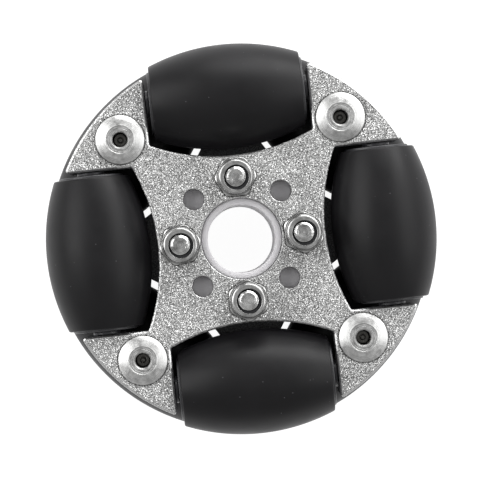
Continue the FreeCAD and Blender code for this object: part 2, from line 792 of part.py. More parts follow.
# Rivets tie each plate to its frame's arms.
for row_name, first, level, flip in (("front", HALF_ANGLE, PLATE_FACE, False),
                                     ("rear", 0, f"-{PLATE_FACE}", True)):
    rivets = []
    pins = []
    for number, angle in enumerate(spokes(first)):
        place = dict(on_circle(RIVET_CIRCLE, angle), z=level, flip=flip)
        rivets.append(put(f"{row_name}_rivet_{number}", rivet, **place))
        pins.append(put(f"{row_name}_rivet_pin_{number}", rivet_pin, **place))
    add_group(f"{row_name}_rivets", rivets)
    add_group(f"{row_name}_rivet_pins", pins)

doc.recompute()
for item in doc.Objects:
    if "Invalid" in item.State or "Error" in item.State:
        raise RuntimeError(f"{item.Name} is {item.State}")
for node, item in nodes.items():
    if item.Shape.isNull() or not item.Shape.isValid():
        raise RuntimeError(f"{node} has no valid shape")
for node, item in nodes.items():
    solids = item.Shape.Solids
    shape = solids[0] if len(solids) == 1 else item.Shape
    shape.exportStep(f"parts/{node}.step")
    print(node, len(solids), round(shape.Volume, 2))
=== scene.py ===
"""Looks of a double-row omni wheel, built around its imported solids.

The wheel lies on its rear rollers with its front face up: +Z is its axis and the origin its
centre. Sizes are in millimetres here, and a finished piece is scaled to the frame's metres.
Radii are called across and places on an axis along, because most pieces are turned.
"""

import json
import logging
import math
from abc import ABC, abstractmethod
from dataclasses import dataclass
from enum import Enum
from typing import Callable, Iterable, Sequence

import bmesh
import bpy
from bpy.types import Material, Node, NodeSocket, NodeTree
from mathutils import Matrix, Vector
from mathutils.geometry import delaunay_2d_cdt

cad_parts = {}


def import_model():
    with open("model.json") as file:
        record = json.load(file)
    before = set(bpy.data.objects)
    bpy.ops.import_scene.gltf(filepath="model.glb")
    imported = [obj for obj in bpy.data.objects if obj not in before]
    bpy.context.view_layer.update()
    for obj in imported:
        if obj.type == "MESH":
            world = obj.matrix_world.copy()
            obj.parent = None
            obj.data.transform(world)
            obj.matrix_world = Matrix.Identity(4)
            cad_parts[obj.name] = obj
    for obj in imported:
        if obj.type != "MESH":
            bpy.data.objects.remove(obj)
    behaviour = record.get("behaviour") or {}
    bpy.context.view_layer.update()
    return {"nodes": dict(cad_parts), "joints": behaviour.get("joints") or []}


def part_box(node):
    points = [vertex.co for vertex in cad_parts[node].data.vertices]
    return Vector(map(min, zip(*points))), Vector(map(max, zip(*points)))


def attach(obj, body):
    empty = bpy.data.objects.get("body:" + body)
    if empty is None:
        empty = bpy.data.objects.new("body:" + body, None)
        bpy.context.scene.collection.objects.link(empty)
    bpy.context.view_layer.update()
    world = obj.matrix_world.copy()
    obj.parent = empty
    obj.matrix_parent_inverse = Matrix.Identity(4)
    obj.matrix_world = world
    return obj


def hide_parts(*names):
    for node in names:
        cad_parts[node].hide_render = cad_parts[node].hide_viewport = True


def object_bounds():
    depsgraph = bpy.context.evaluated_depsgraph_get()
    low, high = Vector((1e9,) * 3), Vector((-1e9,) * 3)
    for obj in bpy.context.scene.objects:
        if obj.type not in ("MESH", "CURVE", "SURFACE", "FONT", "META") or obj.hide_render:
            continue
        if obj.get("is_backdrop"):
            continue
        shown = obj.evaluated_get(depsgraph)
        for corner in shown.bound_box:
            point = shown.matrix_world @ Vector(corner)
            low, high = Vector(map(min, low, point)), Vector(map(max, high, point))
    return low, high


MM = 0.001
FULL_TURN = 2 * math.pi
DEGREES = 360
ROLLERS = 4
PITCH = DEGREES / ROLLERS
HALF_PITCH = PITCH / 2
BOLT_CIRCLE = 9.12
BOLT_HOLE = 1.55
RIVET_CIRCLE = 23.12
MERGE_GAP = 1e-4
SIDE_SHARE = 0.49
INSIDE_WITH_HOLES = 2
SHARP_ANGLE = math.radians(40)
AXIS_GAP = "axis_gap"
LOG = logging.getLogger("omni_wheel")

Pair = tuple[float, float]
Section = Callable[[float], Sequence[Pair]]
Loop = list[bmesh.types.BMVert]
Edge = tuple[Vector, Vector]


class Row(Enum):
    """The two rows of rollers, by the word that starts their nodes' names."""

    FRONT = "front"
    REAR = "rear"

    def turn(self) -> float:
        """How far round the wheel the row's first roller is, in degrees."""
        return 0.0 if self is Row.FRONT else HALF_PITCH


def linear(shade: str) -> tuple[float, float, float, float]:
    """Turns an sRGB hex colour into the linear one that a shader reads.

    Args:
        shade: A # and six hex digits.

    Returns:
        Red, green and blue, with an alpha of one.
    """
    parts = [int(shade[start:start + 2], 16) / 255 for start in (1, 3, 5)]
    red, green, blue = (
        part / 12.92 if part <= 0.04045 else ((part + 0.055) / 1.055) ** 2.4 for part in parts
    )
    return red, green, blue, 1.0


def find_socket(sockets: Iterable[NodeSocket], key: str = "") -> NodeSocket:
    """Finds a socket among those of a node that are in use.

    Args:
        sockets: The node's inputs or outputs.
        key: The socket's identifier or name, or nothing for any.

    Returns:
        The first socket that fits.
    """
    return next(one for one in sockets if one.enabled and key in (one.identifier, one.name, ""))


def wire(tree: NodeTree, node: Node, inputs: dict[str, object]) -> None:
    """Sets or links a node's inputs.

    Args:
        tree: The tree that the node is in.
        node: The node to set up.
        inputs: By input, the value to set, or the node or output socket to link.
    """
    for key, value in inputs.items():
        target = find_socket(node.inputs, key)
        source = find_socket(value.outputs) if isinstance(value, Node) else value
        if isinstance(source, NodeSocket):
            tree.links.new(source, target)
        else:
            target.default_value = source


def add_node(tree: NodeTree, kind: str, inputs: dict[str, object] | None = None, **settings: object) -> Node:
    """Adds a node with its settings and links.

    Args:
        tree: The tree to add it to.
        kind: The node's type.
        inputs: By input, the value to set, or the node or output socket to link.
        settings: The node's own settings.

    Returns:
        The new node.
    """
    node = tree.nodes.new(kind)
    for name, value in settings.items():
        setattr(node, name, value)
    wire(tree, node, inputs or {})
    return node


class Finish(ABC):
    """A surface finish, made into a material the first time that a piece wears it."""

    name: str

    def material(self) -> Material:
        """Gives the finish's material, made once.

        Returns:
            The material.
        """
        made = bpy.data.materials.get(self.name)
        if made is None:
            made = bpy.data.materials.new(self.name)
            made.use_nodes = True
            self.dress(made.node_tree, made.node_tree.nodes["Principled BSDF"])
        return made

    @abstractmethod
    def dress(self, tree: NodeTree, surface: Node) -> None:
        """Builds the finish's nodes.

        Args:
            tree: The material's tree.
            surface: Its Principled shader.
        """

    def shaded_in_corners(self, tree: NodeTree, colour: Node, corner_shade: str, reach: float) -> Node:
        """Paints shade into a colour in the corners, darkening it by ambient occlusion where shade falls.

        Args:
            tree: The material's tree.
            colour: The node that gives the clean colour.
            corner_shade: The painted shade's colour in a deep corner.
            reach: How far the painted shade comes out of a corner, in millimetres.

        Returns:
            The node that gives the colour with the painted shade.
        """
        room = add_node(tree, "ShaderNodeAmbientOcclusion", {"Distance": reach * MM}, samples=8)
        unshaded_share = add_node(tree, "ShaderNodeMapRange", {
            "Value": room.outputs["AO"], "From Min": 0.55, "From Max": 0.95,
        })
        return add_node(tree, "ShaderNodeMix", {
            "Factor": unshaded_share, "A": linear(corner_shade), "B": colour,
        }, data_type="RGBA")


@dataclass(frozen=True)
class BlastedMetal(Finish):
    """Metal sheet blasted with coarse grit and left bare.

    Each facet leans another way and mirrors another part of the room, and each crater is
    painted pale in its middle and dark at its rim, painted light and shade of a hollow, so the
    face reads as crisp black and white specks, over slow drifts of tone where the blasting was
    uneven. Real grit leaves craters a tenth of a millimetre wide; they are drawn twice as wide,
    as coarse as they need to be to show.
    """

    name: str
    pale: str
    dark: str
    roughness: float
    lean: float = 1.1
    grit: float = 0.09
    crater: float = 0.21
    # How much of the specks is the craters' painted light and shade.
    crater_light_share: float = 0.0
    drift: float = 7.0
    # Painted shade: the colour that ambient occlusion paints into deep corners, and how far it reaches.
    corner_shade: str = "#1c1c1b"
    corner: float = 0.3

    def dress(self, tree: NodeTree, surface: Node) -> None:
        """Builds the finish's nodes.

        Args:
            tree: The material's tree.
            surface: Its Principled shader.
        """
        place = add_node(tree, "ShaderNodeTexCoord").outputs["Object"]
        facets = add_node(tree, "ShaderNodeTexVoronoi", {
            "Vector": place, "Scale": 1 / (self.grit * MM),
        }).outputs["Color"]
        shares = add_node(tree, "ShaderNodeSeparateColor", {"Color": facets})
        drift = add_node(tree, "ShaderNodeTexNoise", {
            "Vector": place, "Scale": 1 / (self.drift * MM), "Detail": 2.0,
        })
        tone = add_node(tree, "ShaderNodeMapRange", {
            "Value": drift, "From Min": 0.3, "From Max": 0.7, "To Min": -0.08, "To Max": 0.08,
        })
        craters = add_node(tree, "ShaderNodeTexVoronoi", {
            "Vector": place, "Scale": 1 / (self.crater * MM), "Randomness": 0.8,
        }, voronoi_dimensions="2D")
        # Painted light and shade: pale in each crater's middle, dark at its rim.
        middle = add_node(tree, "ShaderNodeMapRange", {
            "Value": craters, "From Min": 0.1, "From Max": 0.6, "To Min": 1.0, "To Max": 0.0,
        })
        specks = add_node(tree, "ShaderNodeMix", {
            "Factor": self.crater_light_share, "A": shares.outputs["Blue"], "B": middle,
        }, data_type="FLOAT")
        amount = add_node(tree, "ShaderNodeMath", {
            "Value": specks, "Value_001": tone,
        }, operation="ADD", use_clamp=True)
        colour = add_node(tree, "ShaderNodeMix", {
            "Factor": amount, "A": linear(self.dark), "B": linear(self.pale),
        }, data_type="RGBA")
        leaning = add_node(tree, "ShaderNodeVectorMath", {
            "Vector": facets, "Vector_001": [self.lean] * 3, "Vector_002": [-self.lean / 2] * 3,
        }, operation="MULTIPLY_ADD")
        turned = add_node(tree, "ShaderNodeVectorMath", {
            "Vector": leaning, "Vector_001": add_node(tree, "ShaderNodeNewGeometry").outputs["Normal"],
        }, operation="ADD")
        wire(tree, surface, {
            # Base colour with painted shade in the corners.
            "Base Color": self.shaded_in_corners(tree, colour, self.corner_shade, self.corner),
            "Metallic": 1.0,
            "Roughness": self.roughness,
            "Normal": add_node(tree, "ShaderNodeVectorMath", {"Vector": turned}, operation="NORMALIZE"),
        })


@dataclass(frozen=True)
class TurnedMetal(Finish):
    """Metal turned or set in a die, with fine rings about the piece's own axis.

    The rings stretch each highlight into an arc, and blotches in the roughness break up the
    mirror look that new steel never has.
    """

    name: str
    pale: str
    dark: str
    roughness: float
    ring: float = 0.09
    relief: float = 0.002
    blotch: float = 0.8
    dent: float = 0.0
    # Painted shade: the colour that ambient occlusion paints into deep corners, and how far it reaches.
    corner_shade: str = "#1c1b1a"
    corner: float = 0.4

    def dress(self, tree: NodeTree, surface: Node) -> None:
        """Builds the finish's nodes.

        Args:
            tree: The material's tree.
            surface: Its Principled shader.
        """
        place = add_node(tree, "ShaderNodeTexCoord").outputs["Object"]
        gap = add_node(tree, "ShaderNodeAttribute", attribute_name=AXIS_GAP)
        rings = add_node(tree, "ShaderNodeTexNoise", {
            "W": find_socket(gap.outputs, "Fac"), "Scale": 1 / self.ring, "Detail": 2.0,
        }, noise_dimensions="1D")
        blotch = add_node(tree, "ShaderNodeTexNoise", {
            "Vector": place, "Scale": 1 / (self.blotch * MM), "Detail": 3.0, "Roughness": 0.6,
        })
        mixed = add_node(tree, "ShaderNodeMath", {"Value": blotch, "Value_001": rings}, operation="MULTIPLY")
        amount = add_node(tree, "ShaderNodeMapRange", {"Value": mixed, "From Min": 0.12, "From Max": 0.4})
        colour = add_node(tree, "ShaderNodeMix", {
            "Factor": amount, "A": linear(self.dark), "B": linear(self.pale),
        }, data_type="RGBA")
        rough = add_node(tree, "ShaderNodeMapRange", {
            "Value": blotch,
            "From Min": 0.3,
            "From Max": 0.7,
            "To Min": self.roughness * 0.8,
            "To Max": self.roughness * 1.25,
        })
        dents = add_node(tree, "ShaderNodeBump", {"Height": blotch, "Distance": self.dent * MM})
        bump = add_node(tree, "ShaderNodeBump", {
            "Height": rings, "Distance": self.relief * MM, "Normal": dents,
        })
        wire(tree, surface, {
            # Base colour with painted shade in the corners.
            "Base Color": self.shaded_in_corners(tree, colour, self.corner_shade, self.corner),
            "Metallic": 1.0,
            "Roughness": rough,
            "Normal": bump,
        })


@dataclass(frozen=True)
class MouldedPlastic(Finish):
    """Nylon or acetal from a mould, whose texture comes from the mould's own surface.

    A spark-eroded mould leaves pits that catch small lights; a polished one leaves little more
    than a faint unevenness. Either way the tone drifts a little with the flow of the melt.
    """

    name: str
    pale: str
    dark: str
    roughness: float
    pit: float = 0.22
    relief: float = 0.02
    drift: float = 5.0
    speck_share: float = 0.5
    glow_depth: float = 0.0

    def dress(self, tree: NodeTree, surface: Node) -> None:
        """Builds the finish's nodes.

        Args:
            tree: The material's tree.
            surface: Its Principled shader.
        """
        place = add_node(tree, "ShaderNodeTexCoord").outputs["Object"]
        pits = add_node(tree, "ShaderNodeTexNoise", {
            "Vector": place, "Scale": 1 / (self.pit * MM), "Detail": 2.0, "Roughness": 0.55,
        })
        drift = add_node(tree, "ShaderNodeTexNoise", {
            "Vector": place, "Scale": 1 / (self.drift * MM), "Detail": 3.0,
        })
        specks = add_node(tree, "ShaderNodeMapRange", {
            "Value": pits, "From Min": 0.42, "From Max": 0.72, "To Max": self.speck_share,
        })
        amount = add_node(tree, "ShaderNodeMath", {
            "Value": drift, "Value_001": 1 - self.speck_share, "Value_002": specks,
        }, operation="MULTIPLY_ADD", use_clamp=True)
        colour = add_node(tree, "ShaderNodeMix", {
            "Factor": amount, "A": linear(self.dark), "B": linear(self.pale),
        }, data_type="RGBA")
        bump = add_node(tree, "ShaderNodeBump", {"Height": pits, "Distance": self.relief * MM})
        wire(tree, surface, {
            "Base Color": colour,
            "Roughness": self.roughness,
            "IOR": 1.53,
            "Subsurface Weight": 0.8 if self.glow_depth else 0.0,
            "Subsurface Radius": (1.0, 1.0, 1.0),
            "Subsurface Scale": self.glow_depth * MM,
            "Normal": bump,
        })


@dataclass(frozen=True)
class MouldedRubber(Finish):
    """Polyurethane rubber, moulded round the core and satin all over.

    Its low gloss turns the lamps into wide soft bands, a faint bloom greys it at glancing
    angles, and a few specks of dust sit on it.
    """

    name: str = "moulded_rubber"
    pale: str = "#1a191b"
    dark: str = "#0e0e0f"
    dust: str = "#6d6c70"
    roughness: float = 0.42
    skin: float = 0.25
    relief: float = 0.005
    smear: float = 6.0
    dust_gap: float = 1.7
    dust_size: float = 0.09

    def dress(self, tree: NodeTree, surface: Node) -> None:
        """Builds the finish's nodes.

        Args:
            tree: The material's tree.
            surface: Its Principled shader.
        """
        place = add_node(tree, "ShaderNodeTexCoord").outputs["Object"]
        smear = add_node(tree, "ShaderNodeTexNoise", {
            "Vector": place, "Scale": 1 / (self.smear * MM), "Detail": 4.0, "Roughness": 0.6,
        })
        skin = add_node(tree, "ShaderNodeTexNoise", {
            "Vector": place, "Scale": 1 / (self.skin * MM), "Detail": 3.0,
        })
        base = add_node(tree, "ShaderNodeMix", {
            "Factor": smear, "A": linear(self.dark), "B": linear(self.pale),
        }, data_type="RGBA")
        cells = add_node(tree, "ShaderNodeTexVoronoi", {"Vector": place, "Scale": 1 / (self.dust_gap * MM)})
        reach = self.dust_size / self.dust_gap
        speck = add_node(tree, "ShaderNodeMapRange", {
            "Value": cells, "From Min": reach, "From Max": reach / 2, "To Max": 0.6,
        })
        colour = add_node(tree, "ShaderNodeMix", {
            "Factor": speck, "A": base, "B": linear(self.dust),
        }, data_type="RGBA")
        rough = add_node(tree, "ShaderNodeMapRange", {
            "Value": smear,
            "From Min": 0.3,
            "From Max": 0.7,
            "To Min": self.roughness - 0.05,
            "To Max": self.roughness + 0.07,
        })
        bump = add_node(tree, "ShaderNodeBump", {"Height": skin, "Distance": self.relief * MM})
        wire(tree, surface, {
            "Base Color": colour,
            "Roughness": rough,
            "IOR": 1.5,
            "Specular IOR Level": 0.24,
            "Sheen Weight": 0.03,
            "Sheen Roughness": 0.4,
            "Sheen Tint": linear("#cfc8d6"),
            "Normal": bump,
        })


# Half of the face's specks are the craters' painted light and shade.
PLATE_FACE = BlastedMetal(
    "blasted_aluminium", pale="#f6f6f5", dark="#505050", roughness=0.3, lean=0.95, crater_light_share=0.5
)
PLATE_EDGE = BlastedMetal("tumbled_aluminium_edge", pale="#ededec", dark="#bcbcbc", roughness=0.3, lean=0.3)
PLATE_WALL = BlastedMetal("sheared_aluminium_wall", pale="#cdcdcc", dark="#858585", roughness=0.4, lean=0.4)
# The holes' walls: the plate's metal painted darker than its outer wall, painted shade inside the holes.
SHADED_HOLE_WALL = BlastedMetal("punched_aluminium_wall_painted_shade", pale="#8a8a8a", dark="#565656", roughness=0.5, lean=0.2)
FRAME_NYLON = MouldedPlastic(
    "glass_filled_nylon", pale="#77777b", dark="#1c1c1e", roughness=0.27, relief=0.04, speck_share=0.75
)
SPACER_NYLON = MouldedPlastic(
    "natural_nylon", pale="#dbd9dc", dark="#d1cfd2", roughness=0.45, relief=0.004, speck_share=0.2,
    glow_depth=2.5,
)
CORE_NYLON = MouldedPlastic("black_core_nylon", pale="#3f3f42", dark="#2a2a2c", roughness=0.4, relief=0.006)
WASHER_ACETAL = MouldedPlastic("grey_acetal", pale="#55555a", dark="#434347", roughness=0.38, relief=0.004)
INSERT_NYLON = MouldedPlastic(
    "dark_insert_nylon", pale="#27282c", dark="#17181a", roughness=0.45, relief=0.004
)
AXLE_STEEL = TurnedMetal("ground_axle_steel", pale="#d6d4d0", dark="#aeaca8", roughness=0.25)
NUT_STEEL = TurnedMetal(
    "zinc_plated_nut_steel", pale="#e8e8e7", dark="#989897", roughness=0.22, blotch=1.2, dent=0.02, corner=0.7
)
SCREW_STEEL = TurnedMetal(
    "zinc_plated_screw_steel", pale="#f6f6f5", dark="#8c8c8b", roughness=0.2, blotch=1.1, dent=0.16
)
RIVET_METAL = TurnedMetal("drawn_rivet_aluminium", pale="#e6e6e5", dark="#acacab", roughness=0.38)
PIN_STEEL = TurnedMetal("dull_pin_steel", pale="#8b8a87", dark="#55534f", roughness=0.5)
TYRE_RUBBER = MouldedRubber()


@dataclass(frozen=True)
class Corner:
    """A corner of a section or outline, with the radius of its rounding."""

    across: float
    along: float
    fillet: float = 0.0

    def spot(self) -> Vector:
        """The corner's place as a vector."""
        return Vector((self.across, self.along))


def rounded(corners: Sequence[Corner], closed: bool, steps: int = 4) -> list[Pair]:
    """Follows the corners, each rounded by an arc.

    Args:
        corners: The corners in order.
        closed: Whether the last corner leads back to the first.
        steps: How many straight runs an arc has.

    Returns:
        The points as (across, along).
    """
    path: list[Pair] = []
    last = len(corners) - 1
    for number, corner in enumerate(corners):
        here = corner.spot()
        back = corners[number - 1].spot() - here
        ahead = corners[(number + 1) % len(corners)].spot() - here
        is_end = not closed and number in (0, last)
        if is_end or corner.fillet == 0 or min(back.length, ahead.length) < MERGE_GAP:
            path.append((here.x, here.y))
            continue
        half = back.angle(ahead) / 2
        reach = min(corner.fillet / math.tan(half), SIDE_SHARE * back.length, SIDE_SHARE * ahead.length)
        start = here + back.normalized() * reach
        finish = here + ahead.normalized() * reach
        centre = here + (back.normalized() + ahead.normalized()).normalized() * (reach / math.cos(half))
        radius = reach * math.tan(half)
        for step in range(steps + 1):
            arm = (start - centre).slerp(finish - centre, step / steps) * radius
            path.append((centre.x + arm.x, centre.y + arm.y))
    return path


def hexagon_reach(across_flats: float, turn: float, softness: float = 0.12) -> Callable[[float], float]:
    """Says how far a hexagon's outline is from its axis in each direction.

    Args:
        across_flats: The hexagon's width from flat to flat.
        turn: The direction of one corner, in radians.
        softness: How far inside the true corner the rounded one stays.

    Returns:
        A function from an angle to the outline's distance.
    """
    flat = across_flats / 2
    corner = flat / math.cos(math.pi / 6) - softness

    def reach(angle: float) -> float:
        """Distance of the outline in the direction of angle."""
        off_flat = (angle - turn) % (math.pi / 3) - math.pi / 6
        return min(flat / math.cos(off_flat), corner)

    return reach


class Shell:
    """The skin of one piece while it is being built, in millimetres."""

    def __init__(self) -> None:
        """Starts with no faces."""
        self.build = bmesh.new()
        self.axis_gap = self.build.verts.layers.float.new(AXIS_GAP)

    def loop(self, points: Iterable[Vector]) -> Loop:
        """Adds the vertices of a loop.

        Args:
            points: Where they stand.

        Returns:
            The new vertices in the same order.
        """
        return [self.build.verts.new(point) for point in points]

    def tube(self, place: Matrix, centre: Vector, path: Sequence[Pair], steps: int) -> list[Loop]:
        """Adds the loops of a round wall.

        Args:
            place: Where the piece's own frame goes.
            centre: Where the wall's middle is in that frame.
            path: The wall's section, as (radius, height).
            steps: How many vertices a loop has.

        Returns:
            The loops in the order of the path.
        """
        return [
            self.loop(
                place @ (centre + around(radius, DEGREES * step / steps, height)) for step in range(steps)
            )
            for radius, height in path
        ]

    def skin(self, loops: Sequence[Loop], wraps: bool = False, slot: int = 0) -> None:
        """Stretches faces between neighbouring closed loops.

        Args:
            loops: The loops, with as many vertices each.
            wraps: Whether the last loop joins the first.
            slot: The material slot of the faces.
        """
        pairs = list(zip(loops, loops[1:]))
        if wraps:
            pairs.append((loops[-1], loops[0]))
        for lower, upper in pairs:
            for here in range(len(lower)):
                there = (here + 1) % len(lower)
                face = self.build.faces.new((lower[here], lower[there], upper[there], upper[here]))
                face.material_index = slot

    def cap(self, loops: Sequence[Loop], slot: int = 0) -> None:
        """Closes the flat area between an outline and the holes in it.

        Args:
            loops: The outline and the holes' rims, all at one height.
            slot: The material slot of the faces.
        """
        corners = [vertex for loop in loops for vertex in loop]
        numbers = iter(range(len(corners)))
        outlines = [[next(numbers) for _ in loop] for loop in loops]
        flat = [vertex.co.xy for vertex in corners]
        filled = delaunay_2d_cdt(flat, [], outlines, INSIDE_WITH_HOLES, MERGE_GAP)
        for triangle in filled[2]:
            face = self.build.faces.new([corners[filled[3][number][0]] for number in triangle])
            face.material_index = slot

    def turn(self, section: Section, place: Matrix, steps: int, closed: bool) -> None:
        """Turns a section about its own axis and puts it in place.

        Args:
            section: From an angle to the section's points there, as (across, along).
            place: Where the axis and its zero go.
            steps: How many sections make the full turn.
            closed: Whether the section is a closed outline, as a ring's is.
        """
        angles = [FULL_TURN * step / steps for step in range(steps)]
        sections = [section(angle) for angle in angles]
        rings = []
        for number in range(len(sections[0])):
            ring = []
            for angle, points in zip(angles, sections):
                across, along = points[number]
                spot = Vector((across * math.cos(angle), across * math.sin(angle), along))
                vertex = self.build.verts.new(place @ spot)
                vertex[self.axis_gap] = across
                ring.append(vertex)
            rings.append(ring)
        self.skin(rings, wraps=closed)

    @classmethod
    def turned(
        cls, section: Sequence[Pair], places: Iterable[Matrix], steps: int, closed: bool = True
    ) -> "Shell":
        """Turns the same plain section in several places.

        Args:
            section: The section's points, as (across, along).
            places: Where each axis and its zero go.
            steps: How many sections make the full turn.
            closed: Whether the section is a closed outline.

        Returns:
            The shell with all of them.
        """
        shell = cls()
        for place in places:
            shell.turn(lambda _: section, place, steps, closed)
        return shell

    def finish(self, name: str, body: str, slot: str, node: str, *finishes: Finish) -> None:
        """Turns the skin into a piece that rides on its body.

        Args:
            name: The piece's name.
            body: The body that it rides on.
            slot: The record's material slot; not used.
            node: The CAD node that it stands for.
            finishes: The finish of each of its material slots.
        """
        bmesh.ops.remove_doubles(self.build, verts=self.build.verts, dist=MERGE_GAP)
        bmesh.ops.recalc_face_normals(self.build, faces=self.build.faces)
        bmesh.ops.scale(self.build, vec=(MM, MM, MM), verts=self.build.verts)
        mesh = bpy.data.meshes.new(name)
        self.build.to_mesh(mesh)
        self.build.free()
        mesh.shade_smooth()
        mesh.set_sharp_from_angle(angle=SHARP_ANGLE)
        piece = bpy.data.objects.new(name, mesh)
        bpy.context.scene.collection.objects.link(piece)
        for one in finishes:
            mesh.materials.append(one.material())
        even = piece.modifiers.new("even_faces", "WEIGHTED_NORMAL")
        even.keep_sharp = True
        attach(piece, body)
        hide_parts(node)
        LOG.info("%s: %d faces on %s", name, len(mesh.polygons), body)


def node_heights(node: str) -> Pair:
    """Lowest and highest place of a CAD node on the wheel's axis, in millimetres."""
    low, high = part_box(node)
    return low.z / MM, high.z / MM


def around(circle: float, angle: float, height: float) -> Vector:
    """A point on a circle about the wheel's axis, with its angle in degrees."""
    return Vector((circle * math.cos(math.radians(angle)), circle * math.sin(math.radians(angle)), height))


def flipped() -> Matrix:
    """The half turn about +X that makes a front piece a rear one."""
    return Matrix.Rotation(math.pi, 4, "X")


@dataclass(frozen=True)
class StarPlan:
    """Plan of a plate: a disc with four bays, whose floors follow the rollers' barrels."""

    rim: float = 27.8
    side: float = 12.15
    floor_centre: float = 41.4
    floor_radius: float = 29.0
    bay_round: float = 0.5
    tip_round: float = 0.4
    floor_steps: int = 28
    bay_steps: int = 6
    tip_steps: int = 8
    rim_steps: int = 16

    def arc(
        self, centre: Vector, radius: float, start: float, finish: float, steps: int, hollow: bool
    ) -> list[Edge]:
        """Points on an arc with the directions that lead out of the metal.

        Args:
            centre: The arc's centre.
            radius: Its radius.
            start: Angle of its first point.
            finish: Angle of its last point.
            steps: How many straight runs it has.
            hollow: Whether the metal is outside the arc.

        Returns:
            Each point with its outward direction.
        """
        points = []
        for step in range(steps + 1):
            angle = start + (finish - start) * step / steps
            arm = Vector((math.cos(angle), math.sin(angle)))
            points.append((centre + arm * radius, -arm if hollow else arm))
        return points

    def half_arm(self) -> list[Edge]:
        """Goes from the middle of the +X bay's floor to the middle of the arm's rim.

        Returns:
            Each point with its outward direction.
        """
        floor = Vector((self.floor_centre, 0.0))
        reach = self.floor_radius - self.bay_round
        rise = self.side - self.bay_round
        bay = Vector((self.floor_centre - math.sqrt(reach ** 2 - rise ** 2), rise))
        sweep = math.asin(rise / reach)
        lift = self.side + self.tip_round
        tip_reach = self.rim - self.tip_round
        tip = Vector((math.sqrt(tip_reach ** 2 - lift ** 2), lift))
        rim_start = math.atan2(tip.y, tip.x)
        runs = [
            self.arc(floor, self.floor_radius, math.pi, math.pi - sweep, self.floor_steps, hollow=True),
            self.arc(bay, self.bay_round, math.pi - sweep, math.pi / 2, self.bay_steps, hollow=True),
            self.arc(tip, self.tip_round, -math.pi / 2, rim_start, self.tip_steps, hollow=False),
            self.arc(Vector((0.0, 0.0)), self.rim, rim_start, math.pi / 4, self.rim_steps, hollow=False),
        ]
        joined = list(runs[0])
        for before, run in zip(runs, runs[1:]):
            shared = (run[0][0] - before[-1][0]).length < MERGE_GAP
            joined.extend(run[1:] if shared else run)
        return joined

    def outline(self) -> list[Edge]:
        """Goes round the whole plan.

        Returns:
            Each point with its outward direction.
        """
        half = self.half_arm()
        mirrored = [(spot.yx, way.yx) for spot, way in reversed(half)]
        quarter = half[:-1] + mirrored[:-1]
        points = []
        for number in range(ROLLERS):
            turn = Matrix.Rotation(number * FULL_TURN / ROLLERS, 2)
            points.extend((turn @ spot, turn @ way) for spot, way in quarter)
        return points


@dataclass
class FacePlate:
    """A blasted plate with softened edges, on the arms of one row's frame."""

    row: Row
    plan: StarPlan = StarPlan()
    edge_bevel: float = 0.26
    edge_drop: float = 0.16
    edge_rounding: float = 0.08
    hole_bevel: float = 0.1
    hole_rounding: float = 0.04
    bore: float = 6.0
    rivet_hole: float = 2.05
    hole_steps: int = 48
    bore_steps: int = 144
    edge_steps: int = 3

    def edge_path(self, thickness: float, bevel: float, drop: float, rounding: float) -> list[Pair]:
        """The edge's section from the seat up, as (inset, height).

        Args:
            thickness: The plate's thickness.
            bevel: The bevel's width.
            drop: How far below the face it starts.
            rounding: How far its two corners are rounded.

        Returns:
            The section's points.
        """
        corners = [
            Corner(0.0, 0.0),
            Corner(0.0, thickness - drop, rounding),
            Corner(bevel, thickness, rounding),
            Corner(bevel + rounding, thickness),
        ]
        return rounded(corners, closed=False, steps=self.edge_steps)

    def build(self) -> None:
        """Builds the plate in place of its CAD node."""
        node = f"{self.row.value}_plate"
        low, high = node_heights(node)
        place = Matrix.Rotation(math.radians(self.row.turn()), 4, "Z")
        if self.row is Row.REAR:
            place = place @ flipped()
        place = place @ Matrix.Translation((0.0, 0.0, low if self.row is Row.FRONT else -high))
        outline = self.plan.outline()
        edge = self.edge_path(high - low, self.edge_bevel, self.edge_drop, self.edge_rounding)
        hole_edge = self.edge_path(high - low, self.hole_bevel, self.hole_bevel, self.hole_rounding)
        shell = Shell()
        outer = [
            shell.loop(
                place @ (spot - way * inset).to_3d() + place.to_3x3() @ Vector((0, 0, height))
                for spot, way in outline
            )
            for inset, height in edge
        ]
        holes = [(0.0, 0.0, self.bore, self.bore_steps)]
        for number in range(2 * ROLLERS):
            holes.append((BOLT_CIRCLE, HALF_PITCH * number, BOLT_HOLE, self.hole_steps))
        for number in range(ROLLERS):
            holes.append((RIVET_CIRCLE, HALF_PITCH + PITCH * number, self.rivet_hole, self.hole_steps))
        skins = [PLATE_FACE, PLATE_EDGE, SHADED_HOLE_WALL, PLATE_WALL]
        walls = [outer]
        for circle, angle, radius, steps in holes:
            path = [(radius + inset, height) for inset, height in hole_edge]
            wall = shell.tube(place, around(circle, angle, 0.0), path, steps)
            # The holes' walls wear the darker finish: painted shade inside the holes.
            shell.skin(wall[:2], slot=skins.index(SHADED_HOLE_WALL))
            shell.skin(wall[1:], slot=skins.index(PLATE_EDGE))
            walls.append(wall)
        shell.skin(outer[:2], slot=skins.index(PLATE_WALL))
        shell.skin(outer[1:], slot=skins.index(PLATE_EDGE))
        for end in (0, -1):
            shell.cap([wall[end] for wall in walls], slot=skins.index(PLATE_FACE))
        shell.finish(f"plate_{self.row.value}", "root", "plate", node, *skins)


